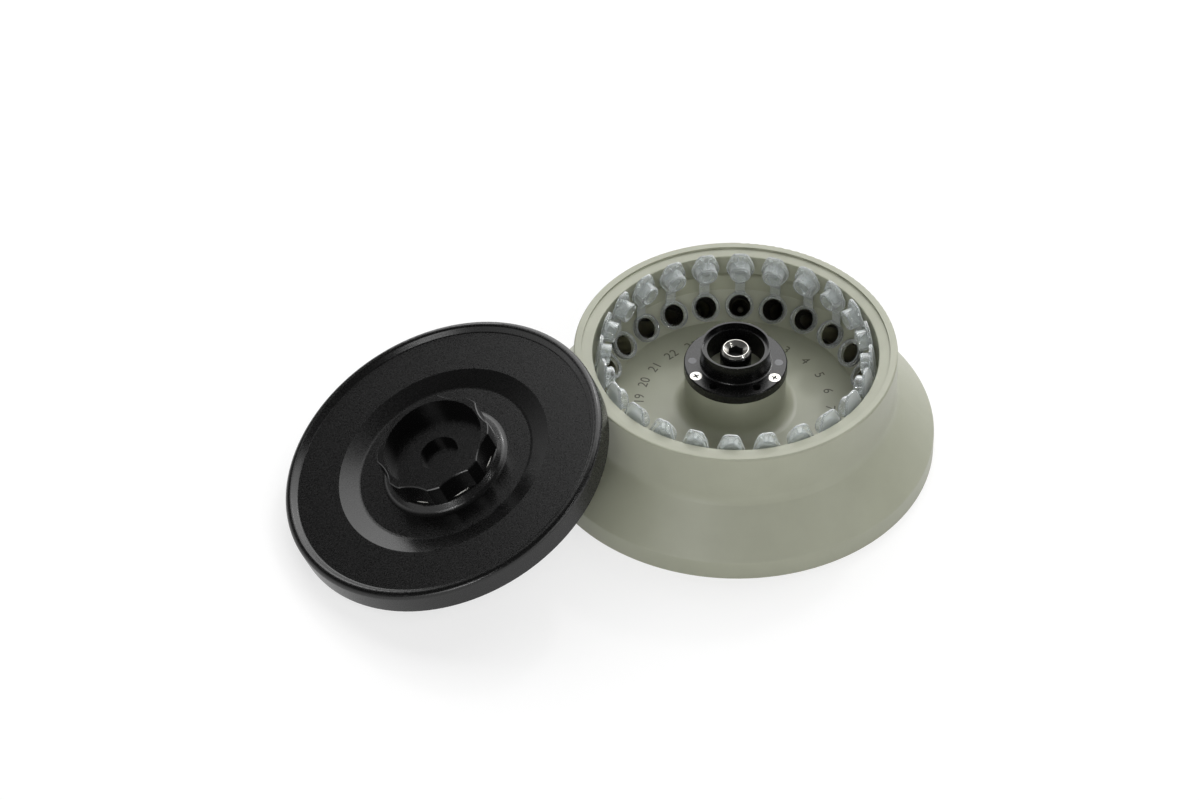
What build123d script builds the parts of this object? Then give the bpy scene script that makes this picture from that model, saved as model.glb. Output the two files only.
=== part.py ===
from build123d import *
import os
from math import cos, radians, sin

# Fixed angle rotor for 24 microtubes, with the tubes seated in it and its lid leaning on it.
# Millimetres. Z is the rotor's axis, pointing up, and z = 0 is the face that the rotor stands on.
# Azimuths are in degrees from +Y, clockwise from above, the way the places are numbered.

# Rotor body, a turned bowl with a flared base
base_radius = 91.0
base_height = 9.2
base_rounding = 1.8
wall_radius = 73.1
flare_top = 31.0
flare_fillet = 7.0
rim_top = 55.5
rim_rounding = 0.8
lip_inner_radius = 69.7
band_outer_z = 54.5
band_inner_z = 54.1
mouth_radius = 64.6
cove_top = 44.0
cove_radius = 67.4
cove_depth_z = 40.6
cove_fillet = 3.0
floor_z = 22.2
pedestal_radius = 22.9
pedestal_top = 43.4
pedestal_fillet = 5.5
foot_inner_radius = 76.2
underside_z = 16.0
boss_radius = 18.0
boss_root_radius = 20.0
underside_fillet = 3.0
edge_break = 0.5

# Drive bore and the clamp screw's passage, up the middle of the body
drive_radius = 8.0
drive_length = 18.0
drive_chamfer = 1.0
relief_radius = 9.0
relief_top = 32.0
passage_radius = 6.2
sleeve_seat_z = 38.0

# Tubes, in a ring of places that lean out at the rotor's angle
tube_count = 24
rotor_angle = 45.0
first_azimuth = 1.2
ring_radius = 58.8
ring_z = 29.1
tube_rim_radius = 6.6
tube_rim_depth = 2.6
seat_gap = 0.27
tube_radius = 5.4
tube_shoulder = 20.5
tube_length = 38.2
tube_tip_radius = 2.3
tube_tip_chamfer = 1.0
tube_wall = 1.0
tube_mouth_radius = 5.15
bore_clearance = 0.15

# Tube cap, open and standing up from the rim on its strap
strap_width = 4.6
strap_thickness = 0.9
strap_radius = 63.35
strap_low_z = 32.6
cap_root_radius = 63.3
cap_root_z = 40.3
cap_lean = 8.5
cap_disc_radius = 6.7
cap_disc_height = 9.8
cap_thickness = 1.4
cap_tab_height = 9.1
cap_tab_half_width = 3.8
plug_radius = 4.85
plug_wall = 0.9
plug_length = 4.6

# Hub collar, with its fasteners and locating pins
flange_radius = 23.4
flange_thickness = 4.5
collar_radius = 15.8
collar_top = 57.95
collar_bore_radius = 13.1
collar_step_z = 55.5
collar_step_radius = 14.9
collar_fillet = 0.8
fastener_circle = 20.4
screw_azimuths = (0, 120, 240)
screw_head_radius = 2.75
screw_head_depth = 1.4
screw_shank_radius = 1.5
screw_length = 10.0
screw_cross = (3.0, 0.75, 1.0)
pin_azimuths = (90, 270)
pin_circle = 19.5
pin_radius = 2.0
pin_length = 8.0
spare_azimuths = (150, 210)
spare_radius = 1.9
fastener_clearance = 0.05

# Clamp screw, its sleeve and the ring that keeps it captive
sleeve_radius = 7.1
sleeve_top = 54.6
sleeve_bore_radius = 4.2
sleeve_ledge_z = 50.2
head_radius = 6.35
head_top = 56.1
head_chamfer = 0.5
dish_radius = 5.5
dish_floor_radius = 3.9
dish_depth = 1.1
hex_across_flats = 6.0
hex_depth = 5.0
shank_radius = 4.1
shank_tip_z = 19.0
circlip_radius = 5.5
circlip_groove_radius = 3.4
circlip_low_z = 36.8
circlip_thickness = 0.9
circlip_gap_angle = 70.0
running_clearance = 0.05

# Lid, as modelled flat on its skirt before it is leaned on the rotor
lid_radius = 75.88
skirt_inner_radius = 73.5
lid_rim_top = 11.0
lid_rim_inner_radius = 72.7
annulus_radius = 70.5
annulus_z = 8.8
dish_edge_radius = 50.2
dish_radius_low = 41.4
dish_z = 6.2
lid_boss_root_radius = 28.4
lid_boss_radius = 25.6
lid_boss_z = 10.0
lid_hole_radius = 18.3
lid_wall = 2.6
lid_distance = 138.0
lid_direction = 203.5
lid_lean = 22.05
seal_inner_radius = 65.2
seal_width = 4.0
seal_thickness = 2.1
seal_groove_depth = 0.6

# Lid knob, a lobed cup on a neck through the lid
knob_radius = 26.6
knob_low_z = 10.55
knob_top_z = 21.8
knob_lobes = 8
knob_phase = 23.5
scallop_radius = 21.8
scallop_distance = 46.1
knob_recess_radius = 23.2
knob_floor_z = 13.6
knob_hole_radius = 9.0
knob_web = 1.7
knob_cup_radius = 10.8
knob_cup_floor_z = 9.1
knob_cup_low_z = 7.7
knob_chamfer = 0.4
neck_radius = 18.2
neck_bore_radius = 16.1
neck_low_z = 3.0
snap_ring_low_z = 6.1
snap_ring_thickness = 1.0
snap_ring_groove_radius = 17.4
snap_ring_radius = 20.5
snap_ring_gap_angle = 16.0
washer_inner_radius = 18.6
washer_outer_radius = 24.4
washer_thickness = 0.5


def turned(points, radii=0.0):
    """Solid of revolution about Z from a closed outline of (radius, z) corners."""
    corners = [(r, 0, z) for r, z in points]
    if radii:
        outline = FilletPolyline(*corners, radius=radii, close=True)
    else:
        outline = Polyline(*corners, close=True)
    return revolve(make_face(outline), Axis.Z)


def washer(outer, inner, low_z, thickness):
    """Flat ring about Z."""
    high_z = low_z + thickness
    return turned([(inner, low_z), (outer, low_z), (outer, high_z), (inner, high_z)])


def at_azimuth(azimuth, solid):
    """Solid built out along +X, turned to an azimuth."""
    return Rot(0, 0, 90 - azimuth) * solid


def slot_sector(angle, radius, low_z, height):
    """Wedge about +X that opens a ring."""
    half = radians(angle / 2)
    reach = 2 * radius
    edge = Polyline((0, 0), (reach, -reach * sin(half)), (reach, reach * sin(half)), close=True)
    return Pos(0, 0, low_z) * extrude(make_face(edge), height)


# The tube's own frame stands at the centre of its mouth, with Z out of the mouth
lean = radians(rotor_angle)
mouth_frame = Plane(
    origin=(ring_radius, 0, ring_z),
    x_dir=(cos(lean), 0, sin(lean)),
    z_dir=(-sin(lean), 0, cos(lean)),
).location

# The conical face under the tube rims, as z = r - cone_offset
cone_offset = ring_radius - ring_z + (tube_rim_depth + seat_gap) / cos(lean)


def rotor_body():
    cone_top_radius = cove_radius - 1.1
    profile = [
        ((foot_inner_radius, 0), 0),
        ((base_radius, 0), 0),
        ((base_radius, base_height), base_rounding),
        ((wall_radius, flare_top), flare_fillet),
        ((wall_radius, rim_top), rim_rounding),
        ((lip_inner_radius, rim_top), 0),
        ((lip_inner_radius, band_outer_z), 0),
        ((mouth_radius, band_inner_z), edge_break),
        ((mouth_radius, cove_top), 0),
        ((cove_radius, cove_depth_z), cove_fillet),
        ((cone_top_radius, cone_top_radius - cone_offset), 0),
        ((floor_z + cone_offset, floor_z), 0),
        ((pedestal_radius, floor_z), pedestal_fillet),
        ((pedestal_radius, pedestal_top), 0),
        ((sleeve_radius + running_clearance, pedestal_top), 0),
        ((sleeve_radius + running_clearance, sleeve_seat_z), 0),
        ((passage_radius, sleeve_seat_z), 0),
        ((passage_radius, relief_top), 0),
        ((relief_radius, relief_top), 0),
        ((relief_radius, drive_length), 0),
        ((drive_radius, drive_length), 0),
        ((drive_radius, drive_chamfer), 0),
        ((drive_radius + drive_chamfer, 0), 0),
        ((boss_radius, 0), 0),
        ((boss_root_radius, underside_z), underside_fillet),
        ((foot_inner_radius - underside_z, underside_z), underside_fillet),
    ]
    body = turned([corner for corner, _ in profile], [radius for _, radius in profile])
    for place in range(tube_count):
        azimuth = first_azimuth + place * 360 / tube_count
        body -= at_azimuth(azimuth, tube_bore())
    for azimuth in screw_azimuths:
        body -= at_azimuth(azimuth, Pos(fastener_circle, 0, pedestal_top) * screw_hole())
    for azimuth in pin_azimuths:
        body -= at_azimuth(azimuth, Pos(pin_circle, 0, pedestal_top) * pin_hole())
    return body


def tube_bore():
    """Cutter for one place: straight, then tapered like the tube."""
    clear = bore_clearance
    end = -tube_length - clear
    bore = turned(
        [
            (0, 2 * tube_rim_depth),
            (tube_radius + clear, 2 * tube_rim_depth),
            (tube_radius + clear, -tube_shoulder),
            (tube_tip_radius + clear, end + tube_tip_chamfer),
            (tube_tip_radius + clear - tube_tip_chamfer, end),
            (0, end),
        ]
    )
    return mouth_frame * bore


def screw_hole():
    """Hole in the pedestal for a collar screw, from its top face down."""
    depth = screw_length - flange_thickness + 1
    return Pos(0, 0, -depth / 2) * Cylinder(screw_shank_radius + fastener_clearance, depth)


def pin_hole():
    """Hole in the pedestal for a locating pin, from its top face down."""
    depth = pin_length - flange_thickness
    return Pos(0, 0, -depth / 2) * Cylinder(pin_radius + fastener_clearance, depth)


def hub_collar():
    """Black flanged collar that the lid's knob screws down over."""
    flange_top = pedestal_top + flange_thickness
    profile = [
        ((collar_bore_radius, pedestal_top), 0),
        ((flange_radius, pedestal_top), 0),
        ((flange_radius, flange_top - edge_break), 0),
        ((flange_radius - edge_break, flange_top), 0),
        ((collar_radius, flange_top), collar_fillet),
        ((collar_radius, collar_top), 0),
        ((collar_step_radius, collar_top), 0),
        ((collar_step_radius, collar_step_z), 0),
        ((collar_bore_radius, collar_step_z), 0),
    ]
    collar = turned([corner for corner, _ in profile], [radius for _, radius in profile])
    hole = Cylinder(screw_shank_radius + fastener_clearance, 3 * flange_thickness)
    countersink = Pos(0, 0, -screw_head_depth / 2) * Cone(
        screw_shank_radius, screw_head_radius + fastener_clearance, screw_head_depth
    )
    for azimuth in screw_azimuths:
        collar -= at_azimuth(azimuth, Pos(fastener_circle, 0, flange_top) * (hole + countersink))
    for azimuth in pin_azimuths:
        pin = Cylinder(pin_radius + fastener_clearance, 3 * flange_thickness)
        collar -= at_azimuth(azimuth, Pos(pin_circle, 0, flange_top) * pin)
    spare = Cylinder(spare_radius, 3 * flange_thickness)
    for azimuth in spare_azimuths:
        collar -= at_azimuth(azimuth, Pos(pin_circle, 0, flange_top) * spare)
    return collar


def collar_screws():
    """Three countersunk cross-recess screws that hold the collar down."""
    flange_top = pedestal_top + flange_thickness
    head = Pos(0, 0, -screw_head_depth / 2) * Cone(
        screw_shank_radius - fastener_clearance, screw_head_radius, screw_head_depth
    )
    shank_length = screw_length - screw_head_depth
    shank = Pos(0, 0, -screw_head_depth - shank_length / 2) * Cylinder(
        screw_shank_radius - fastener_clearance, shank_length
    )
    screw = head + shank
    length, width, depth = screw_cross
    for turn in (0, 90):
        screw -= Rot(0, 0, turn) * Box(length, width, 2 * depth)
    return Compound(
        [at_azimuth(azimuth, Pos(fastener_circle, 0, flange_top) * screw) for azimuth in screw_azimuths]
    )


def locating_pins():
    """Two ground pins, flush with the flange, that set the collar's place."""
    flange_top = pedestal_top + flange_thickness
    pin = Pos(pin_circle, 0, flange_top - pin_length / 2) * Cylinder(pin_radius, pin_length)
    return Compound([at_azimuth(azimuth, pin) for azimuth in pin_azimuths])


def screw_sleeve():
    """Black sleeve that carries the clamp screw's head, up the middle of the collar."""
    counterbore = head_radius + 2 * running_clearance
    return turned(
        [
            (sleeve_bore_radius, sleeve_seat_z),
            (sleeve_radius, sleeve_seat_z),
            (sleeve_radius, sleeve_top - edge_break),
            (sleeve_radius - edge_break, sleeve_top),
            (counterbore, sleeve_top),
            (counterbore, sleeve_ledge_z),
            (sleeve_bore_radius, sleeve_ledge_z),
        ]
    )


def clamp_screw():
    """Socket head screw that draws the rotor onto the drive's shaft."""
    head_low = sleeve_ledge_z + running_clearance
    groove_low = circlip_low_z - running_clearance
    groove_high = circlip_low_z + circlip_thickness + running_clearance
    screw = turned(
        [
            (0, shank_tip_z),
            (shank_radius - 1, shank_tip_z),
            (shank_radius, shank_tip_z + 1),
            (shank_radius, groove_low),
            (circlip_groove_radius, groove_low),
            (circlip_groove_radius, groove_high),
            (shank_radius, groove_high),
            (shank_radius, head_low),
            (head_radius, head_low),
            (head_radius, head_top - head_chamfer),
            (head_radius - head_chamfer, head_top),
            (dish_radius, head_top),
            (dish_floor_radius, head_top - dish_depth),
            (0, head_top - dish_depth),
        ]
    )
    socket_low = head_top - hex_depth
    socket = Pos(0, 0, socket_low) * extrude(
        RegularPolygon(hex_across_flats / 2, 6, major_radius=False), hex_depth
    )
    return screw - socket


def screw_circlip():
    """Open ring in the screw's groove, under the sleeve, that keeps the screw captive."""
    inner = circlip_groove_radius + running_clearance
    ring = washer(circlip_radius, inner, circlip_low_z, circlip_thickness)
    return ring - slot_sector(circlip_gap_angle, circlip_radius, circlip_low_z, circlip_thickness)


def lid_frame():
    """Placing of the lid: its skirt's edge on the bench, its far side up on the rotor's lip."""
    direction = radians(lid_direction)
    slope = radians(lid_lean)
    out = (cos(direction), sin(direction))
    normal = (out[0] * sin(slope), out[1] * sin(slope), cos(slope))
    across = (-out[1], out[0], 0)
    centre = (out[0] * lid_distance, out[1] * lid_distance, lid_radius * sin(slope))
    return Plane(origin=centre, x_dir=across, z_dir=normal).location


def lid_shell():
    """Dished lid of even wall, with a raised rim, a skirt and a boss round the knob's hole."""
    ceiling_z = annulus_z - lid_wall
    groove_z = ceiling_z + seal_groove_depth
    seal_outer = seal_inner_radius + seal_width
    play = 2 * running_clearance
    profile = [
        ((skirt_inner_radius, 0), 0),
        ((lid_radius, 0), 0),
        ((lid_radius, lid_rim_top), 2.2),
        ((lid_rim_inner_radius, lid_rim_top), 1.2),
        ((annulus_radius, annulus_z), 0.8),
        ((dish_edge_radius, annulus_z), 0),
        ((dish_radius_low, dish_z), 4.0),
        ((lid_boss_root_radius, dish_z), 3.0),
        ((lid_boss_radius, lid_boss_z), 1.5),
        ((lid_hole_radius, lid_boss_z), 0),
        ((lid_hole_radius, lid_boss_z - lid_wall), 0),
        ((lid_boss_radius - lid_wall, lid_boss_z - lid_wall), 0),
        ((lid_boss_root_radius - lid_wall, dish_z - lid_wall), 0),
        ((dish_radius_low + edge_break, dish_z - lid_wall), 0),
        ((dish_edge_radius + edge_break, ceiling_z), 0),
        ((seal_inner_radius - play, ceiling_z), 0),
        ((seal_inner_radius - play, groove_z), 0),
        ((seal_outer + play, groove_z), 0),
        ((seal_outer + play, ceiling_z), 0),
        ((skirt_inner_radius, ceiling_z), 0),
    ]
    return turned([corner for corner, _ in profile], [radius for _, radius in profile])


def lid_seal():
    """Rubber ring in the lid's groove, which closes on the rim's flat band."""
    groove_z = annulus_z - lid_wall + seal_groove_depth
    return washer(seal_inner_radius + seal_width, seal_inner_radius, groove_z - seal_thickness, seal_thickness)


def lid_knob():
    """Cup-shaped knob with a scalloped wall, a blind hole in its floor, and a neck in the lid's hole."""
    height = knob_top_z - knob_low_z
    outline = Circle(knob_radius)
    for lobe in range(knob_lobes):
        turn = knob_phase + (lobe + 0.5) * 360 / knob_lobes
        outline -= Rot(0, 0, turn) * Pos(scallop_distance, 0) * Circle(scallop_radius)
    grip = Pos(0, 0, knob_low_z) * extrude(outline, height)
    grip = chamfer(grip.faces().sort_by(Axis.Z)[-1].outer_wire().edges(), knob_chamfer)
    recess = washer(knob_recess_radius, 0, knob_floor_z, knob_top_z - knob_floor_z)
    neck = washer(neck_radius, 0, neck_low_z, knob_low_z - neck_low_z)
    groove = washer(
        2 * neck_radius,
        snap_ring_groove_radius,
        snap_ring_low_z - running_clearance,
        snap_ring_thickness + 2 * running_clearance,
    )
    web_low_z = knob_floor_z - knob_web
    neck_bore = washer(neck_bore_radius, 0, neck_low_z, web_low_z - neck_low_z)
    cup = washer(knob_cup_radius, 0, knob_cup_low_z, web_low_z - knob_cup_low_z)
    hole = washer(knob_hole_radius, 0, knob_cup_floor_z, knob_floor_z - knob_cup_floor_z)
    return grip + (neck - groove) - recess - neck_bore + cup - hole


def knob_snap_ring():
    """Open ring in the neck's groove, under the lid, that keeps the knob on."""
    inner = snap_ring_groove_radius + running_clearance
    ring = washer(snap_ring_radius, inner, snap_ring_low_z, snap_ring_thickness)
    return ring - slot_sector(snap_ring_gap_angle, snap_ring_radius, snap_ring_low_z, snap_ring_thickness)


def knob_washer():
    """Slippery washer between the knob and the lid's boss."""
    return washer(washer_outer_radius, washer_inner_radius, lid_boss_z, washer_thickness)


def tube_shell():
    """Open tube in its own frame: rim, straight body and tapered end."""
    body_low = tube_radius - 0.1
    return turned(
        [
            (0, -tube_length),
            (tube_tip_radius - tube_tip_chamfer, -tube_length),
            (tube_tip_radius, tube_tip_chamfer - tube_length),
            (body_low, -tube_shoulder),
            (tube_radius, -tube_rim_depth),
            (tube_rim_radius, -tube_rim_depth),
            (tube_rim_radius, 0),
            (tube_mouth_radius, 0),
            (tube_radius - tube_wall, -tube_rim_depth),
            (body_low - tube_wall, -tube_shoulder),
            (tube_tip_radius - tube_wall, 2 * tube_wall - tube_length),
            (0, 2 * tube_wall - tube_length),
        ]
    )


def tube(azimuth):
    """One moulded tube with its cap open, at its place in the ring."""
    slope = radians(cap_lean)
    root = Vector(cap_root_radius, 0, cap_root_z)
    up = Vector(-sin(slope), 0, cos(slope))
    face = Plane(
        origin=root + up * cap_disc_height,
        x_dir=(0, 1, 0),
        z_dir=(-cos(slope), 0, -sin(slope)),
    )
    waist = cap_disc_radius - 0.9
    outline = Circle(cap_disc_radius) + make_face(
        Polyline(
            (-cap_tab_half_width, cap_tab_height),
            (cap_tab_half_width, cap_tab_height),
            (cap_disc_radius - 0.1, 1.5),
            (waist, -3.4),
            (strap_width / 2, -cap_disc_height),
            (-strap_width / 2, -cap_disc_height),
            (-waist, -3.4),
            (0.1 - cap_disc_radius, 1.5),
            close=True,
        )
    )
    disc = extrude(outline, cap_thickness / 2, both=True)
    plug = washer(plug_radius, plug_radius - plug_wall, 0, cap_thickness / 2 + plug_length)
    cap = face.location * (disc + plug)
    strap = Pos(strap_radius, 0, (strap_low_z + cap_root_z) / 2 + 0.4) * Box(
        strap_thickness, strap_width, cap_root_z - strap_low_z + 0.8
    )
    return at_azimuth(azimuth, mouth_frame * tube_shell() + strap + cap)


def save(name, solid):
    solid.label = name
    export_step(solid, os.path.join("parts", name + ".step"))


os.makedirs("parts", exist_ok=True)
save("rotor_body", rotor_body())
save("hub_collar", hub_collar())
save("collar_screws", collar_screws())
save("locating_pins", locating_pins())
save("screw_sleeve", screw_sleeve())
save("clamp_screw", clamp_screw())
save("screw_circlip", screw_circlip())
lid_place = lid_frame()
save("lid_shell", lid_place * lid_shell())
save("lid_seal", lid_place * lid_seal())
save("lid_knob", lid_place * lid_knob())
save("knob_snap_ring", lid_place * knob_snap_ring())
save("knob_washer", lid_place * knob_washer())
for place in range(tube_count):
    save(f"tube_{place + 1:02d}", tube(first_azimuth + place * 360 / tube_count))
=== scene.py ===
# Fixed angle rotor for microtubes, dressed in Blender: its tubes, clamp screw, place numbers,
# finishes, light and camera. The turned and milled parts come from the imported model.
import bpy
import math
from mathutils import Matrix, Vector


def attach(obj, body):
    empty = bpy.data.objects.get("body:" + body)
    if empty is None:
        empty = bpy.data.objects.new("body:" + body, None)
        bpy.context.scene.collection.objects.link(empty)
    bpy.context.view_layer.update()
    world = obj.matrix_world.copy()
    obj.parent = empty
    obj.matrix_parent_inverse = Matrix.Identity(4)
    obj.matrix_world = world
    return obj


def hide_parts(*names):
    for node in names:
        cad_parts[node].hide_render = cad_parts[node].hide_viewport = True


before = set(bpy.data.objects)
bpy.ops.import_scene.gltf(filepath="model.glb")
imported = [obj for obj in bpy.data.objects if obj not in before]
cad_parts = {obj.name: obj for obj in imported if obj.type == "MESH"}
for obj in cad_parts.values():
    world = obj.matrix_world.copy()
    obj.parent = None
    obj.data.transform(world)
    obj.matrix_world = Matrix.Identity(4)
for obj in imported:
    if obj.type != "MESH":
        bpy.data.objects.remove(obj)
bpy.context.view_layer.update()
mm = 0.001


# Helpers for selecting, joining and placing

def report(text):
    print("scene:", text)


def nothingSelected():
    if bpy.context.mode != "OBJECT":
        bpy.ops.object.mode_set(mode="OBJECT")
    bpy.ops.object.select_all(action="DESELECT")


def only(obj):
    nothingSelected()
    obj.select_set(True)
    bpy.context.view_layer.objects.active = obj


def named(name):
    # names the object that was just added, and hands it back
    obj = bpy.context.active_object
    obj.name = name
    obj.data.name = name
    return obj


def pick(obj, kind, test):
    # selects faces, edges or vertices in edit mode, by their place or normal
    bpy.ops.object.mode_set(mode="OBJECT")
    bpy.context.tool_settings.mesh_select_mode = [kind == each for each in ("VERT", "EDGE", "FACE")]
    data = obj.data
    for group in (data.vertices, data.edges, data.polygons):
        group.foreach_set("select", [False] * len(group))
    group = {"VERT": data.vertices, "EDGE": data.edges, "FACE": data.polygons}[kind]
    for item in group:
        item.select = test(item)
    bpy.ops.object.mode_set(mode="EDIT")


def edgeMiddle(obj, edge):
    a, b = (obj.data.vertices[i].co for i in edge.vertices)
    return (a + b) / 2


def joined(name, pieces):
    nothingSelected()
    for piece in pieces:
        piece.select_set(True)
    bpy.context.view_layer.objects.active = pieces[0]
    bpy.ops.object.join()
    return named(name)


def outwardNormals(obj):
    only(obj)
    bpy.ops.object.mode_set(mode="EDIT")
    bpy.ops.mesh.select_all(action="SELECT")
    bpy.ops.mesh.remove_doubles(threshold=0.002 * mm)
    bpy.ops.mesh.normals_make_consistent(inside=False)
    bpy.ops.object.mode_set(mode="OBJECT")


def smoothed(obj, angle):
    only(obj)
    bpy.ops.object.shade_smooth_by_angle(angle=math.radians(angle))


def inPlace(obj, matrix):
    # moves the mesh itself, so that the object stays at the origin
    obj.data.transform(matrix)
    obj.data.update()


def copyOf(obj, name):
    twin = obj.copy()
    twin.data = obj.data.copy()
    twin.name = name
    twin.data.name = name
    bpy.context.scene.collection.objects.link(twin)
    return twin


# Finishes

def linear(hexColour):
    # sRGB hex to the linear colour that the shaders take
    parts = [int(hexColour[i:i + 2], 16) / 255 for i in (1, 3, 5)]
    return [v / 12.92 if v < 0.04045 else ((v + 0.055) / 1.055) ** 2.4 for v in parts] + [1.0]


def addNode(tree, kind, settings=None, inputs=None):
    # one node: settings are its own options, inputs are constants or (node, socket) links
    node = tree.nodes.new(kind)
    for key, value in (settings or {}).items():
        setattr(node, key, value)
    for key, value in (inputs or {}).items():
        if isinstance(value, tuple) and isinstance(value[0], bpy.types.Node):
            tree.links.new(value[0].outputs[value[1]], node.inputs[key])
        else:
            node.inputs[key].default_value = value
    return node


def newFinish(name):
    finish = bpy.data.materials.new(name)
    finish.use_nodes = True
    tree = finish.node_tree
    shader = tree.nodes["Principled BSDF"]
    place = addNode(tree, "ShaderNodeTexCoord")
    return finish, tree, shader, place


def feed(tree, node, output, target, socket):
    tree.links.new(node.outputs[output], target.inputs[socket])


def coatedAluminium():
    # Hard anodised and lacquered aluminium, turned first: a dull grey-green skin with a soft sheen,
    # faintly cloudy, and a dusting of finer specks
    look = {"colour": "#A2A492", "darker": "#989A88", "roughness": 0.38, "cloudMm": 14.0, "speckMm": 0.45,
            "bump": 0.05, "shine": 0.5}
    finish, tree, shader, place = newFinish("coatedAluminium_turned")
    clouds = addNode(tree, "ShaderNodeTexNoise", None,
                     {"Vector": (place, "Object"), "Scale": 1 / (look["cloudMm"] * mm), "Detail": 3.0})
    specks = addNode(tree, "ShaderNodeTexNoise", None,
                     {"Vector": (place, "Object"), "Scale": 1 / (look["speckMm"] * mm), "Detail": 2.0})
    tone = addNode(tree, "ShaderNodeMix", {"data_type": "RGBA"},
                   {"Factor": (clouds, "Fac"), 6: linear(look["darker"]), 7: linear(look["colour"])})
    feed(tree, tone, 2, shader, "Base Color")
    dull = addNode(tree, "ShaderNodeMapRange", None,
                   {"Value": (specks, "Fac"), "From Min": 0.3, "From Max": 0.7,
                    "To Min": look["roughness"] - 0.05, "To Max": look["roughness"] + 0.08})
    feed(tree, dull, "Result", shader, "Roughness")
    bump = addNode(tree, "ShaderNodeBump", None,
                   {"Height": (specks, "Fac"), "Strength": look["bump"], "Distance": 0.1 * mm})
    feed(tree, bump, "Normal", shader, "Normal")
    shader.inputs["Specular IOR Level"].default_value = look["shine"]
    return finish


def blackAnodised(name, look):
    # Black anodised aluminium, turned and then etched: near black, with a fine mottled grain
    finish, tree, shader, place = newFinish(name)
    grain = addNode(tree, "ShaderNodeTexNoise", None,
                    {"Vector": (place, "Object"), "Scale": 1 / (look["grainMm"] * mm), "Detail": 4.0,
                     "Roughness": 0.7})
    spread = addNode(tree, "ShaderNodeMapRange", None,
                     {"Value": (grain, "Fac"), "From Min": 0.35, "From Max": 0.65})
    tone = addNode(tree, "ShaderNodeMix", {"data_type": "RGBA"},
                   {"Factor": (spread, "Result"), 6: linear(look["colour"]), 7: linear(look["lighter"])})
    feed(tree, tone, 2, shader, "Base Color")
    dull = addNode(tree, "ShaderNodeMapRange", None,
                   {"Value": (grain, "Fac"), "From Min": 0.3, "From Max": 0.7,
                    "To Min": look["roughness"] - 0.08, "To Max": look["roughness"] + 0.08})
    feed(tree, dull, "Result", shader, "Roughness")
    bump = addNode(tree, "ShaderNodeBump", None,
                   {"Height": (grain, "Fac"), "Strength": look["bump"], "Distance": 0.1 * mm})
    feed(tree, bump, "Normal", shader, "Normal")
    shader.inputs["IOR"].default_value = 1.5
    shader.inputs["Specular IOR Level"].default_value = look["shine"]
    return finish


def turnedSteel(name="stainlessSteel_turned", recess=None):
    # Stainless steel straight from the lathe: bright, with fine rings round the axis. Where a recess is
    # given, its base colour is darkened below the recess's edge: painted shade in the driver's recess
    look = {"colour": "#D8D6D0", "roughness": 0.2, "ringMm": 0.35, "bump": 0.12, "wornMm": 3}
    waveFactor = 20  # the wave texture multiplies its scale by this
    finish, tree, shader, place = newFinish(name)
    rings = addNode(tree, "ShaderNodeTexWave",
                    {"wave_type": "RINGS", "rings_direction": "Z"},
                    {"Vector": (place, "Object"), "Scale": 1 / (look["ringMm"] * mm) / waveFactor,
                     "Distortion": 0.6})
    bump = addNode(tree, "ShaderNodeBump", None,
                   {"Height": (rings, "Fac"), "Strength": look["bump"], "Distance": 0.05 * mm})
    feed(tree, bump, "Normal", shader, "Normal")
    worn = addNode(tree, "ShaderNodeTexNoise", None,
                   {"Vector": (place, "Object"), "Scale": 1 / (look["wornMm"] * mm)})
    dull = addNode(tree, "ShaderNodeMapRange", None,
                   {"Value": (worn, "Fac"), "To Min": look["roughness"] - 0.06,
                    "To Max": look["roughness"] + 0.1})
    feed(tree, dull, "Result", shader, "Roughness")
    shader.inputs["Base Color"].default_value = linear(look["colour"])
    shader.inputs["Metallic"].default_value = 1.0
    # painted shade: the colour runs from the recess's dark colour at deepZ to bright steel at edgeZ
    if recess:
        upward = addNode(tree, "ShaderNodeSeparateXYZ", None, {0: (place, "Object")})
        bright = addNode(tree, "ShaderNodeMapRange", None,
                         {"Value": (upward, "Z"), "From Min": recess["deepZ"] * mm,
                          "From Max": recess["edgeZ"] * mm})
        tone = addNode(tree, "ShaderNodeMix", {"data_type": "RGBA"},
                       {"Factor": (bright, "Result"), 6: linear(recess["colour"]),
                        7: linear(look["colour"])})
        feed(tree, tone, 2, shader, "Base Color")
    return finish


def mouldedPolypropylene(name, look):
    # Injection moulded natural polypropylene: clear enough to see through, milky where it is seen
    # edge on, and softly glossy
    finish, tree, shader, place = newFinish(name)
    ripple = addNode(tree, "ShaderNodeTexNoise", None,
                     {"Vector": (place, "Object"), "Scale": 1 / (look["rippleMm"] * mm), "Detail": 2.0})
    bump = addNode(tree, "ShaderNodeBump", None,
                   {"Height": (ripple, "Fac"), "Strength": look["bump"], "Distance": 0.3 * mm})
    feed(tree, bump, "Normal", shader, "Normal")
    dull = addNode(tree, "ShaderNodeMapRange", None,
                   {"Value": (ripple, "Fac"), "To Min": look["roughness"] - 0.05,
                    "To Max": look["roughness"] + 0.05})
    feed(tree, dull, "Result", shader, "Roughness")
    shader.inputs["Base Color"].default_value = linear(look["colour"])
    glance = addNode(tree, "ShaderNodeLayerWeight", None, {"Blend": look["edge"]})
    clearness = addNode(tree, "ShaderNodeMapRange", None,
                        {"Value": (glance, "Facing"), "To Min": look["clear"], "To Max": look["edgeClear"]})
    feed(tree, clearness, "Result", shader, "Transmission Weight")
    shader.inputs["IOR"].default_value = 1.45
    return finish


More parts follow.
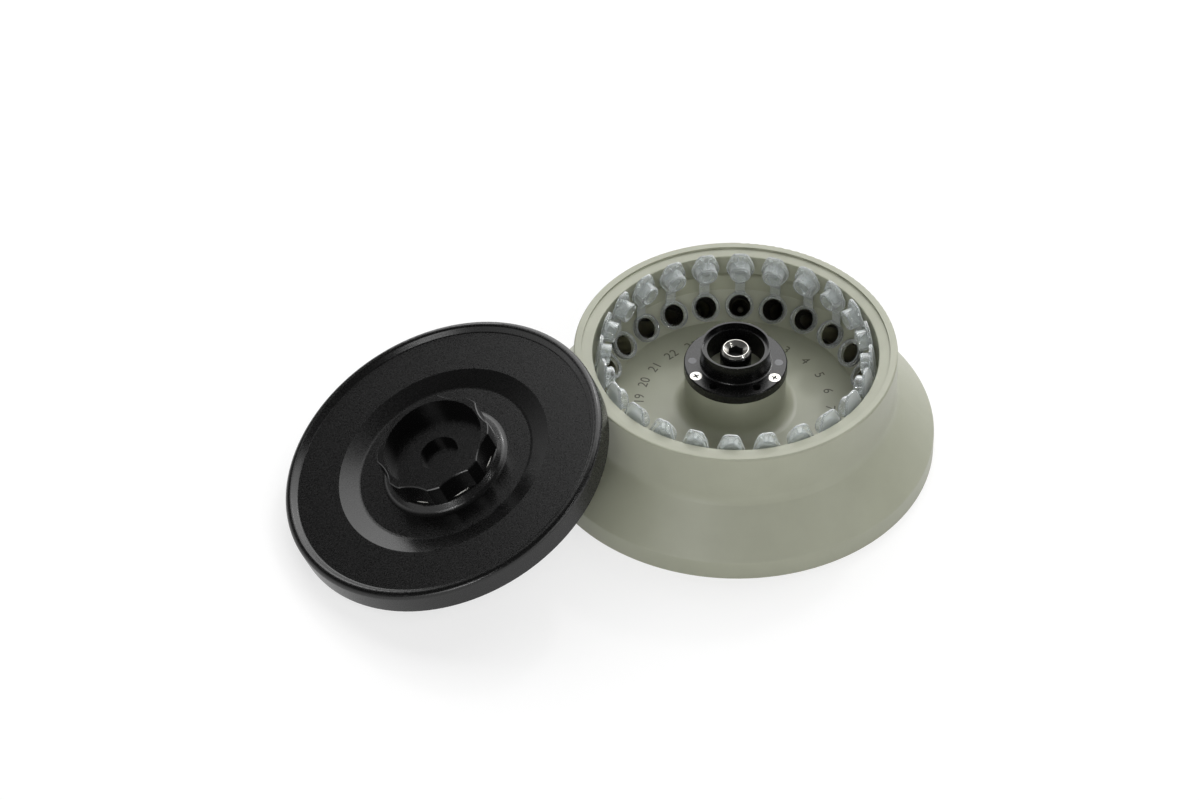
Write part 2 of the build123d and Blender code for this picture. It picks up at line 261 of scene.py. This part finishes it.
def plainFinish(name, look):
    # one soft-grained finish, for moulded rubber, machined plastic, dull steel, print and the painted shade
    # in the screw's socket
    finish, tree, shader, place = newFinish(name)
    grain = addNode(tree, "ShaderNodeTexNoise", None,
                    {"Vector": (place, "Object"), "Scale": 1 / (look["grainMm"] * mm), "Detail": 2.0})
    tone = addNode(tree, "ShaderNodeMix", {"data_type": "RGBA"},
                   {"Factor": (grain, "Fac"), 6: linear(look["colour"]), 7: linear(look["lighter"])})
    feed(tree, tone, 2, shader, "Base Color")
    bump = addNode(tree, "ShaderNodeBump", None,
                   {"Height": (grain, "Fac"), "Strength": look["bump"], "Distance": 0.1 * mm})
    feed(tree, bump, "Normal", shader, "Normal")
    shader.inputs["Roughness"].default_value = look["roughness"]
    return finish


def dress(node, finish):
    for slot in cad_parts[node].material_slots:
        slot.material = finish


olive = coatedAluminium()
blackLid = blackAnodised("blackAluminium_etched", {
    "colour": "#060606", "lighter": "#0D0D0D", "grainMm": 0.7, "roughness": 0.27, "bump": 0.15, "shine": 0.5})
blackTurned = blackAnodised("blackAluminium_turned", {
    "colour": "#060606", "lighter": "#0A0A0A", "grainMm": 0.5, "roughness": 0.24, "bump": 0.05, "shine": 0.5})
steel = turnedSteel()
# the collar screws' cross recesses get painted shade, dark below their edge
crossSteel = turnedSteel("stainlessSteel_paintedRecessShade", {"deepZ": 47.3, "edgeZ": 47.85, "colour": "#121212"})
clearPlastic = mouldedPolypropylene("polypropylene_moulded", {
    "colour": "#F6FAFA", "clear": 0.9, "edgeClear": 0.2, "edge": 0.3, "roughness": 0.03,
    "rippleMm": 2.5, "bump": 0.05})
thinWall = mouldedPolypropylene("polypropylene_thinWalled", {
    "colour": "#EFEBDD", "clear": 1.0, "edgeClear": 0.97, "edge": 0.3, "roughness": 0.05,
    "rippleMm": 2.5, "bump": 0.02})
pinSteel = plainFinish("blackenedSteel_ground", {
    "colour": "#55565A", "lighter": "#66676A", "grainMm": 0.4, "roughness": 0.4, "bump": 0.05})
rubber = plainFinish("nitrileRubber_moulded", {
    "colour": "#1C1C1C", "lighter": "#242424", "grainMm": 0.6, "roughness": 0.75, "bump": 0.1})
washerPlastic = plainFinish("acetal_machined", {
    "colour": "#D9D8D2", "lighter": "#E0DFDA", "grainMm": 0.8, "roughness": 0.4, "bump": 0.05})
# near-black steel that stands for the shade deep in the clamp screw's hexagon socket: painted shade
socketShadeSteel = plainFinish("steel_paintedSocketShade", {
    "colour": "#0E0E0D", "lighter": "#161615", "grainMm": 0.3, "roughness": 0.45, "bump": 0.1})
numberInk = plainFinish("pigment_printed", {
    "colour": "#4C4C42", "lighter": "#57574C", "grainMm": 0.3, "roughness": 0.6, "bump": 0.02})
partFinishes = {"rotor_body": olive, "hub_collar": blackTurned, "collar_screws": crossSteel,
                "locating_pins": pinSteel, "screw_sleeve": blackTurned, "clamp_screw": steel,
                "screw_circlip": steel, "lid_shell": blackLid, "lid_seal": rubber,
                "lid_knob": blackTurned, "knob_snap_ring": steel, "knob_washer": washerPlastic}
for node, finish in partFinishes.items():
    dress(node, finish)
report("finishes are on the turned parts")


# Microtubes, modelled once in the tube's own frame, with the origin at the centre of its mouth
# and Z out of it, then copied to each place

tubeSize = {"count": 24, "firstAzimuth": 1.2, "angle": 45.0, "ringRadius": 58.8, "ringZ": 29.1,
            "rimRadius": 6.6, "rimDepth": 2.6, "mouthRadius": 5.15, "bodyRadius": 5.4, "wall": 1.0,
            "shoulder": 20.5, "length": 38.2, "tipRadius": 2.0, "facets": 60, "teeth": 20,
            "toothDepth": 0.4, "rimToothDepth": 0.2, "smoothAngle": 40}


def azimuthOf(place):
    return tubeSize["firstAzimuth"] + place * 360 / tubeSize["count"]


def turnedSkin(name, outline, facets):
    # a circle, extruded and resized ring by ring along an outline of (radius, z) in millimetres
    firstRadius, firstZ = outline[0]
    nothingSelected()
    bpy.ops.mesh.primitive_circle_add(vertices=facets, radius=firstRadius * mm, fill_type="NGON",
                                      location=(0, 0, firstZ * mm))
    bpy.ops.object.mode_set(mode="EDIT")
    bpy.ops.mesh.select_all(action="SELECT")
    radius, height = firstRadius, firstZ
    for nextRadius, nextHeight in outline[1:]:
        bpy.ops.mesh.extrude_region_move(
            TRANSFORM_OT_translate={"value": (0, 0, (nextHeight - height) * mm)})
        grow = nextRadius / radius
        bpy.ops.transform.resize(value=(grow, grow, 1), center_override=(0, 0, nextHeight * mm))
        radius, height = nextRadius, nextHeight
    bpy.ops.object.mode_set(mode="OBJECT")
    skin = named(name)
    bpy.ops.object.transform_apply(location=True, rotation=True, scale=True)
    outwardNormals(skin)
    return skin


def tubeShell():
    # the outline runs from the tip up the outside to the rim, over it, and down the inside
    s = tubeSize
    wall, tip = s["wall"], -s["length"]
    return turnedSkin("tubeShell", [
        (0.8, tip), (1.5, tip + 0.25), (s["tipRadius"], tip + 0.9), (2.35, tip + 2.0),
        (s["bodyRadius"] - 0.1, -s["shoulder"]), (s["bodyRadius"], -s["rimDepth"] - 0.2),
        (s["bodyRadius"] + 0.3, -s["rimDepth"]), (s["rimRadius"] - 0.25, -s["rimDepth"]),
        (s["rimRadius"], -s["rimDepth"] + 0.25), (s["rimRadius"], -1.7), (s["rimRadius"] - 0.3, -1.4),
        (s["rimRadius"] - 0.3, -1.1), (s["rimRadius"], -0.8), (s["rimRadius"], -0.25),
        (s["rimRadius"] - 0.25, 0.0), (s["mouthRadius"] + 0.3, 0.0), (s["mouthRadius"], -0.2),
        (s["mouthRadius"] - 0.05, -0.9), (s["mouthRadius"] - 0.25, -s["rimDepth"]),
        (s["bodyRadius"] - wall, -4.0), (s["bodyRadius"] - 0.1 - wall, -s["shoulder"]),
        (1.4, tip + 2.4), (0.5, tip + 1.2)], s["facets"])


def cutTeeth(skin):
    # fine teeth round the mouth's inner edge and the rim's two edges, as on a lock-cap tube
    s = tubeSize
    step = s["facets"] // s["teeth"]

    def isTooth(vertex):
        turn = math.atan2(vertex.co.y, vertex.co.x) / (2 * math.pi) * s["facets"]
        return round(turn) % step == 0

    def onMouth(vertex):
        radius = math.hypot(vertex.co.x, vertex.co.y) / mm
        return vertex.co.z / mm > -1.0 and radius < s["mouthRadius"] + 0.1 and isTooth(vertex)

    def onRim(vertex):
        radius = math.hypot(vertex.co.x, vertex.co.y) / mm
        return vertex.co.z / mm > -s["rimDepth"] - 0.1 and radius > s["rimRadius"] - 0.1 and isTooth(vertex)

    only(skin)
    for test, depth, middle in ((onMouth, s["toothDepth"], s["mouthRadius"]),
                                (onRim, s["rimToothDepth"], s["rimRadius"])):
        pick(skin, "VERT", test)
        grow = 1 - depth / middle
        bpy.ops.transform.resize(value=(grow, grow, 1), center_override=(0, 0, 0))
    bpy.ops.object.mode_set(mode="OBJECT")


# The cap stands up from the rim. Its outline is a strip of half widths and heights up its face
capSize = {"lean": 8.5, "rootRadius": 63.3, "rootZ": 40.3, "discHeight": 9.8, "thickness": 1.4,
           "strapThickness": 0.9, "strapLowZ": 32.6, "strapHalfWidth": 2.3, "plugRadius": 4.85,
           "plugWall": 0.85, "plugLength": 4.6,
           "outline": [(1.7, 9.1), (2.7, 8.85), (3.5, 8.2), (4.1, 7.3), (4.9, 5.2), (5.7, 3.2), (6.3, 1.4),
                       (6.55, -0.3), (6.35, -2.0), (5.65, -3.9), (4.6, -5.7), (3.4, -7.5), (2.5, -9.0),
                       (2.3, -9.7)],
           "bumps": [(2.1, 7.7), (3.9, 5.0)], "bumpRadius": 0.7, "bumpZ": 0.45, "bumpSquash": 0.85,
           "border": 0.55, "borderSlope": 0.2, "borderStep": 0.3, "edgeBevel": 0.22,
           "loopRadius": 1.25, "loopWire": 0.38, "loopY": 5.6, "loopZ": 0.5, "loopLeg": 2.3,
           "rootNeck": 0.55, "rimNeck": 0.6}


def isOutline(plate, edge):
    # an edge between a side face and a flat face has vertices on the outermost loop
    sides = [abs(plate.data.vertices[i].normal.z) for i in edge.vertices]
    return max(sides) < 0.9


def capPlate():
    # a plane, its bottom edge extruded and resized row by row, then thickened and its border raised
    s = capSize
    rows = s["outline"]
    nothingSelected()
    bpy.ops.mesh.primitive_plane_add(size=2 * mm)
    plate = named("capPlate")
    bpy.ops.object.mode_set(mode="OBJECT")
    for vertex in plate.data.vertices:
        side = 1 if vertex.co.x > 0 else -1
        half, height = rows[0] if vertex.co.y > 0 else rows[1]
        vertex.co = Vector((side * half * mm, height * mm, 0))
    half, height = rows[1]
    for nextHalf, nextHeight in rows[2:]:
        pick(plate, "EDGE", lambda edge: abs(edgeMiddle(plate, edge).y - height * mm) < 0.01 * mm
             and abs(edgeMiddle(plate, edge).x) < 0.1 * mm)
        bpy.ops.mesh.extrude_region_move(
            TRANSFORM_OT_translate={"value": (0, (nextHeight - height) * mm, 0)})
        grow = nextHalf / half
        bpy.ops.transform.resize(value=(grow, 1, 1), center_override=(0, nextHeight * mm, 0))
        half, height = nextHalf, nextHeight
    bpy.ops.mesh.select_all(action="SELECT")
    bpy.ops.mesh.extrude_region_move(TRANSFORM_OT_translate={"value": (0, 0, s["thickness"] * mm)})
    bpy.ops.object.mode_set(mode="OBJECT")
    inPlace(plate, Matrix.Translation((0, 0, -s["thickness"] / 2 * mm)))
    outwardNormals(plate)
    for side in (1, -1):
        pick(plate, "FACE", lambda face: face.normal.z * side > 0.9)
        bpy.ops.mesh.inset(thickness=s["border"] * mm, depth=0)
        bpy.ops.mesh.inset(thickness=s["borderSlope"] * mm, depth=-s["borderStep"] * mm)
    halfThick = s["thickness"] / 2 * mm
    pick(plate, "EDGE", lambda edge: abs(abs(edgeMiddle(plate, edge).z) - halfThick) < 0.01 * mm
         and isOutline(plate, edge))
    bpy.ops.mesh.bevel(offset=s["edgeBevel"] * mm, segments=2)
    bpy.ops.object.mode_set(mode="OBJECT")
    return plate


def capPlug():
    # a short sleeve on the cap's inner face, lipped at its end
    s = capSize
    outer, inner = s["plugRadius"], s["plugRadius"] - s["plugWall"]
    near, far = s["thickness"] / 2 - 0.3, s["thickness"] / 2 + s["plugLength"]
    return turnedSkin("capPlug", [
        (inner - 0.15, near), (outer - 0.1, near), (outer - 0.15, far - 1.6), (outer, far - 1.1),
        (outer, far - 0.7), (outer - 0.35, far), (inner + 0.1, far), (inner - 0.1, far - 0.6),
        (inner - 0.15, near + 0.15)], 40)


def capBumps():
    # four moulded bumps beside the tab, and the small U between them
    s = capSize
    pieces = []
    for x, y in s["bumps"]:
        for side in (1, -1):
            centre = (side * x * mm, y * mm, s["bumpZ"] * mm)
            nothingSelected()
            bpy.ops.mesh.primitive_uv_sphere_add(segments=14, ring_count=8, radius=s["bumpRadius"] * mm,
                                                 location=centre)
            bpy.ops.object.mode_set(mode="EDIT")
            bpy.ops.mesh.select_all(action="SELECT")
            bpy.ops.transform.resize(value=(1, 1, s["bumpSquash"]), center_override=centre)
            bpy.ops.object.mode_set(mode="OBJECT")
            pieces.append(named("capBump"))
    nothingSelected()
    bpy.ops.mesh.primitive_torus_add(major_radius=s["loopRadius"] * mm, minor_radius=s["loopWire"] * mm,
                                     major_segments=20, minor_segments=8,
                                     location=(0, s["loopY"] * mm, s["loopZ"] * mm))
    loop = named("capLoop")
    bpy.ops.object.mode_set(mode="EDIT")
    bpy.ops.mesh.select_all(action="SELECT")
    bpy.ops.mesh.bisect(plane_co=(0, s["loopY"] * mm, 0), plane_no=(0, 1, 0), clear_outer=True,
                        use_fill=False)
    bpy.ops.object.mode_set(mode="OBJECT")
    bpy.ops.object.transform_apply(location=True, rotation=True, scale=True)
    pick(loop, "EDGE", lambda edge: abs(edgeMiddle(loop, edge).y - s["loopY"] * mm) < 0.02 * mm)
    bpy.ops.mesh.extrude_region_move(TRANSFORM_OT_translate={"value": (0, s["loopLeg"] * mm, 0)})
    bpy.ops.mesh.edge_face_add()
    bpy.ops.object.mode_set(mode="OBJECT")
    pieces.append(loop)
    for piece in pieces:
        only(piece)
        bpy.ops.object.transform_apply(location=True, rotation=True, scale=True)
    return joined("capBumps", pieces)


def capStrap():
    # the strap from the cap's root down to the rim, necked at the two bends
    s = capSize
    half, low, root = s["strapHalfWidth"], s["strapLowZ"], s["rootZ"]
    thick = s["strapThickness"]
    rows = [(root + 0.5, half, thick), (root - 0.4, half, thick),
            (root - 0.8, half - 0.1, thick * s["rootNeck"]), (root - 1.2, half, thick),
            (low + 1.7, half, thick), (low + 1.3, half - 0.1, thick * s["rimNeck"]),
            (low + 0.8, half + 0.1, thick), (low, half + 0.5, thick)]
    nothingSelected()
    bpy.ops.mesh.primitive_plane_add(size=1, location=(0, 0, 0))
    strap = named("capStrap")
    z, wide, deep = rows[0]
    for vertex in strap.data.vertices:
        vertex.co = Vector(((s["rootRadius"] + math.copysign(deep / 2, vertex.co.x)) * mm,
                            math.copysign(wide, vertex.co.y) * mm, z * mm))
    bpy.ops.object.mode_set(mode="EDIT")
    bpy.ops.mesh.select_all(action="SELECT")
    for nextZ, nextWide, nextDeep in rows[1:]:
        bpy.ops.mesh.extrude_region_move(TRANSFORM_OT_translate={"value": (0, 0, (nextZ - z) * mm)})
        bpy.ops.transform.resize(value=(nextDeep / deep, nextWide / wide, 1),
                                 center_override=(s["rootRadius"] * mm, 0, nextZ * mm))
        z, wide, deep = nextZ, nextWide, nextDeep
    bpy.ops.object.mode_set(mode="OBJECT")
    outwardNormals(strap)
    return strap


def twoFinishes(shell):
    # below the rim the wall is thin, and the dark bore shows through it
    shell.data.materials.append(clearPlastic)
    shell.data.materials.append(thinWall)
    for face in shell.data.polygons:
        middle = face.center / mm
        inRim = middle.z > -1.0 or math.hypot(middle.x, middle.y) > tubeSize["bodyRadius"] + 0.1
        face.material_index = 0 if inRim else 1


def wholeTube():
    # the finished tube, built out along +X as the places are
    s, c = tubeSize, capSize
    lean = math.radians(s["angle"])
    shell = tubeShell()
    cutTeeth(shell)
    twoFinishes(shell)
    mouth = Matrix(((math.cos(lean), 0, -math.sin(lean), s["ringRadius"] * mm), (0, 1, 0, 0),
                    (math.sin(lean), 0, math.cos(lean), s["ringZ"] * mm), (0, 0, 0, 1)))
    inPlace(shell, mouth)
    slope = math.radians(c["lean"])
    up = Vector((-math.sin(slope), 0, math.cos(slope)))
    inward = Vector((-math.cos(slope), 0, -math.sin(slope)))
    across = up.cross(inward)
    centre = Vector((c["rootRadius"] * mm, 0, c["rootZ"] * mm)) + up * c["discHeight"] * mm
    face = Matrix((across, up, inward)).transposed().to_4x4()
    face.translation = centre
    cap = joined("tubeCap", [capPlate(), capPlug(), capBumps()])
    inPlace(cap, face)
    strap = capStrap()
    cap.data.materials.append(clearPlastic)
    strap.data.materials.append(clearPlastic)
    tube = joined("tubeMaster", [shell, cap, strap])
    smoothed(tube, s["smoothAngle"])
    return tube


master = wholeTube()
for place in range(tubeSize["count"]):
    node = f"tube_{place + 1:02d}"
    tube = copyOf(master, f"microtube_{place + 1:02d}")
    inPlace(tube, Matrix.Rotation(math.radians(90 - azimuthOf(place)), 4, "Z"))
    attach(tube, "rotor")
    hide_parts(node)
bpy.data.objects.remove(master)
report("microtubes are in their places")


# Clamp screw, with its countersunk hexagon socket and its thread, in millimetres up the rotor's axis
screwSize = {"tipZ": 19.0, "coreRadius": 3.45, "shankRadius": 4.08, "threadLowZ": 20.2,
             "threadLength": 15.0, "threadTurns": 11, "threadSteps": 36, "threadHalfFoot": 0.48,
             "threadRoot": 0.15, "pitch": 1.25, "grooveZ": 36.75, "grooveTopZ": 37.75,
             "grooveRadius": 3.4, "headLowZ": 50.26, "headRadius": 6.34, "collarLowZ": 54.64,
             "collarRadius": 6.86, "topZ": 56.1, "facets": 72, "sinkRadius": 5.4,
             "sinkFloorRadius": 3.3, "sinkDepth": 1.95, "hexFlats": 6.4, "hexDepth": 5.0,
             "smoothAngle": 30}


def screwBody():
    s = screwSize
    top, threadTop = s["topZ"], s["threadLowZ"] + s["threadLength"]
    return turnedSkin("screwBody", [
        (2.6, s["tipZ"]), (s["coreRadius"], s["tipZ"] + 0.9), (s["coreRadius"], threadTop),
        (s["shankRadius"], threadTop + 0.5), (s["shankRadius"], s["grooveZ"]),
        (s["grooveRadius"], s["grooveZ"] + 0.02), (s["grooveRadius"], s["grooveTopZ"] - 0.02),
        (s["shankRadius"], s["grooveTopZ"]), (s["shankRadius"], s["headLowZ"] - 0.02),
        (s["headRadius"], s["headLowZ"]), (s["headRadius"], s["collarLowZ"] - 0.02),
        (s["collarRadius"], s["collarLowZ"]), (s["collarRadius"], s["collarLowZ"] + 0.3),
        (s["collarRadius"] - 0.95, top - 0.1), (s["collarRadius"] - 1.1, top), (s["sinkRadius"] + 0.12, top),
        (s["sinkRadius"], top - 0.08), (s["sinkFloorRadius"], top - s["sinkDepth"])], s["facets"])


def hexRadius():
    # from the hexagon's middle to its corners
    return screwSize["hexFlats"] / math.sqrt(3)


def screwSocket():
    s = screwSize
    nothingSelected()
    bpy.ops.mesh.primitive_cylinder_add(vertices=6, radius=hexRadius() * mm, depth=s["hexDepth"] * mm,
                                        location=(0, 0, (s["topZ"] - s["hexDepth"] / 2) * mm))
    bpy.ops.object.transform_apply(location=True, rotation=True, scale=True)
    return named("screwSocket")


def screwThread():
    # a triangle's three edges, wound up the shank by a Screw modifier and closed at both ends
    s = screwSize
    nothingSelected()
    bpy.ops.mesh.primitive_circle_add(vertices=3, radius=1 * mm, fill_type="NOTHING")
    thread = named("screwThread")
    root, foot = s["coreRadius"] - s["threadRoot"], s["threadHalfFoot"]
    corners = ((root, -foot), (root, foot), (s["shankRadius"], 0.0))
    for vertex, (radius, height) in zip(thread.data.vertices, corners):
        vertex.co = Vector((radius * mm, 0, (s["threadLowZ"] + height) * mm))
    winding = thread.modifiers.new("winding", "SCREW")
    winding.axis = "Z"
    winding.screw_offset = s["pitch"] * mm
    winding.iterations = s["threadTurns"]
    winding.steps = winding.render_steps = s["threadSteps"]
    only(thread)
    bpy.ops.object.modifier_apply(modifier="winding")
    bpy.ops.object.mode_set(mode="EDIT")
    bpy.ops.mesh.select_all(action="SELECT")
    bpy.ops.mesh.fill_holes(sides=3)
    bpy.ops.object.mode_set(mode="OBJECT")
    outwardNormals(thread)
    return thread


def cutAway(body, cutter):
    # body less cutter, by an exact Boolean, and the cutter is gone afterwards
    cut = body.modifiers.new("cut", "BOOLEAN")
    cut.operation, cut.solver, cut.object = "DIFFERENCE", "EXACT", cutter
    only(body)
    bpy.ops.object.modifier_apply(modifier="cut")
    bpy.data.objects.remove(cutter)
    return body


def paintSocketShade(screw):
    # the hexagon socket's faces take the near-black finish as painted shade deep in the socket, and the rest
    # is bright
    s = screwSize
    for face in screw.data.polygons:
        middle = face.center / mm
        inside = math.hypot(middle.x, middle.y) < hexRadius()
        face.material_index = 1 if inside and middle.z > s["topZ"] - s["hexDepth"] - 0.1 else 0


screw = joined("clampScrew", [cutAway(screwBody(), screwSocket()), screwThread()])
screw.data.materials.clear()
screw.data.materials.append(steel)
screw.data.materials.append(socketShadeSteel)
paintSocketShade(screw)
smoothed(screw, screwSize["smoothAngle"])
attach(screw, "clamp_screw")
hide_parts("clamp_screw")
report("clamp screw has its socket and thread")


# Place numbers on the bowl's floor

numberSize = {"height": 4.6, "digitShare": 0.72, "radius": 43.3, "lead": 1.0, "floorZ": 22.2,
              "thick": 0.02, "spread": 1.05}


def placeNumbers():
    s = numberSize
    pieces = []
    for place in range(tubeSize["count"]):
        nothingSelected()
        bpy.ops.object.text_add(location=(0, 0, 0))
        text = bpy.context.active_object
        text.data.body = str(place + 1)
        text.data.align_x = "CENTER"
        text.data.align_y = "CENTER"
        text.data.size = s["height"] * mm / s["digitShare"]
        text.data.space_character = s["spread"]
        text.data.extrude = s["thick"] / 2 * mm
        bpy.ops.object.convert(target="MESH")
        number = named("number")
        turn = Matrix.Rotation(math.radians(-azimuthOf(place) - s["lead"]), 4, "Z")
        shift = Matrix.Translation((0, s["radius"] * mm, (s["floorZ"] + s["thick"] / 2) * mm))
        inPlace(number, turn @ shift)
        number.data.materials.clear()
        number.data.materials.append(numberInk)
        pieces.append(number)
    return joined("place_numbers", pieces)


numbers = placeNumbers()
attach(numbers, "rotor")
report("places are numbered")


# Floor, light and camera

cameraView = {"place": (0, -1.932917, 1.815498), "yaw": -1.8154, "pitch": 42.8355, "roll": -0.0509,
              "focalPixels": 5800, "imageWidth": 1200, "sensor": 36.0, "farthest": 20}


def placeCamera():
    s = cameraView
    yaw, pitch, roll = (math.radians(s[key]) for key in ("yaw", "pitch", "roll"))
    ahead = Vector((math.sin(yaw) * math.cos(pitch), math.cos(yaw) * math.cos(pitch), -math.sin(pitch)))
    level = Vector((math.cos(yaw), -math.sin(yaw), 0))
    above = level.cross(ahead)
    right = level * math.cos(roll) + above * math.sin(roll)
    up = above * math.cos(roll) - level * math.sin(roll)
    lens = bpy.data.cameras.new("camera")
    lens.sensor_width = s["sensor"]
    lens.lens = s["focalPixels"] / s["imageWidth"] * s["sensor"]
    lens.clip_end = s["farthest"]
    camera = bpy.data.objects.new("camera", lens)
    turn = Matrix((right, up, -ahead)).transposed().to_4x4()
    turn.translation = Vector(s["place"])
    camera.matrix_world = turn
    bpy.context.scene.collection.objects.link(camera)
    bpy.context.scene.camera = camera


def seenOrMirrored(tree):
    # 1 for rays from the camera, off gloss or through clear plastic, and 0 for the light that fills shade
    path = addNode(tree, "ShaderNodeLightPath")
    shiny = addNode(tree, "ShaderNodeMath", {"operation": "MAXIMUM"},
                    {0: (path, "Is Glossy Ray"), 1: (path, "Is Transmission Ray")})
    return addNode(tree, "ShaderNodeMath", {"operation": "MAXIMUM"},
                   {0: (path, "Is Camera Ray"), 1: (shiny, 0)})


def whiteFloor():
    # where it is seen it is lifted to white, and it keeps the object's soft shadow
    look = {"colour": "#E8E8E8", "seenColour": "#A4A4A4", "lift": 0.66, "size": 8.0, "gapMm": 0.05}
    nothingSelected()
    bpy.ops.mesh.primitive_plane_add(size=look["size"], location=(0, 0, -look["gapMm"] * mm))
    floor = named("floor")
    bpy.ops.object.transform_apply(location=True, rotation=True, scale=True)
    finish = bpy.data.materials.new("paper_matt")
    finish.use_nodes = True
    tree = finish.node_tree
    tree.nodes.clear()
    seen = seenOrMirrored(tree)
    matt = addNode(tree, "ShaderNodeBsdfDiffuse", None, {"Color": linear(look["colour"])})
    seenMatt = addNode(tree, "ShaderNodeBsdfDiffuse", None, {"Color": linear(look["seenColour"])})
    glow = addNode(tree, "ShaderNodeEmission", None, {"Color": (1, 1, 1, 1), "Strength": look["lift"]})
    lifted = addNode(tree, "ShaderNodeAddShader", None, {0: (seenMatt, 0), 1: (glow, 0)})
    chosen = addNode(tree, "ShaderNodeMixShader", None, {0: (seen, 0), 1: (matt, 0), 2: (lifted, 0)})
    addNode(tree, "ShaderNodeOutputMaterial", None, {"Surface": (chosen, 0)})
    floor.data.materials.append(finish)


# Area lamps, all turned to the origin: places and sizes in metres, strengths in watts
lamps = {
    "backLight": {"place": (0.19, 1.1, 1.0), "size": (2.3, 1.75), "watts": 32.0},
    "frontRightLight": {"place": (1.17, -0.82, 0.46), "size": (0.9, 0.5), "watts": 2.2},
    "frontLeftLight": {"place": (-0.57, -1.23, 0.6), "size": (0.7, 0.5), "watts": 4.0},
    "backSpot": {"place": (0.35, 1.0, 1.05), "size": (0.12, 0.12), "watts": 2.5},
    "rightSpot": {"place": (1.0, -0.5, 1.1), "size": (0.1, 0.1), "watts": 0.9},
    "frontSpot": {"place": (-0.4, -1.4, 0.6), "size": (0.1, 0.1), "watts": 1.3},
    "frontFill": {"place": (0.3, -1.2, 1.05), "size": (1.0, 1.0), "watts": 6.3, "mirrored": False}}


def softBox(name, look):
    light = bpy.data.lights.new(name, "AREA")
    light.shape = "RECTANGLE"
    light.size, light.size_y = look["size"]
    light.energy = look["watts"]
    lamp = bpy.data.objects.new(name, light)
    lamp.location = look["place"]
    lamp.rotation_euler = (-Vector(look["place"])).to_track_quat("-Z", "Y").to_euler()
    lamp.visible_glossy = look.get("mirrored", True)
    bpy.context.scene.collection.objects.link(lamp)


def surroundings():
    # a pale room: white round the horizon where it is seen or mirrored, and dimmer overhead
    look = {"room": 0.13, "whiteUpTo": 0.05, "dimFrom": 0.45, "overhead": 0.07}
    world = bpy.data.worlds.new("studio")
    bpy.context.scene.world = world
    world.use_nodes = True
    tree = world.node_tree
    tree.nodes.clear()
    seen = seenOrMirrored(tree)
    direction = addNode(tree, "ShaderNodeTexCoord")
    upward = addNode(tree, "ShaderNodeSeparateXYZ", None, {0: (direction, "Generated")})
    dimming = addNode(tree, "ShaderNodeMapRange", None,
                      {"Value": (upward, "Z"), "From Min": look["whiteUpTo"], "From Max": look["dimFrom"],
                       "To Min": 1.0, "To Max": look["overhead"]})
    room = addNode(tree, "ShaderNodeBackground", None, {"Color": (1, 1, 1, 1), "Strength": look["room"]})
    backdrop = addNode(tree, "ShaderNodeBackground", None,
                       {"Color": (1, 1, 1, 1), "Strength": (dimming, "Result")})
    chosen = addNode(tree, "ShaderNodeMixShader", None, {0: (seen, 0), 1: (room, 0), 2: (backdrop, 0)})
    addNode(tree, "ShaderNodeOutputWorld", None, {"Surface": (chosen, 0)})


placeCamera()
whiteFloor()
surroundings()
for name, look in lamps.items():
    softBox(name, look)
bpy.context.scene.view_settings.view_transform = "Standard"
report("floor, light and camera are set")
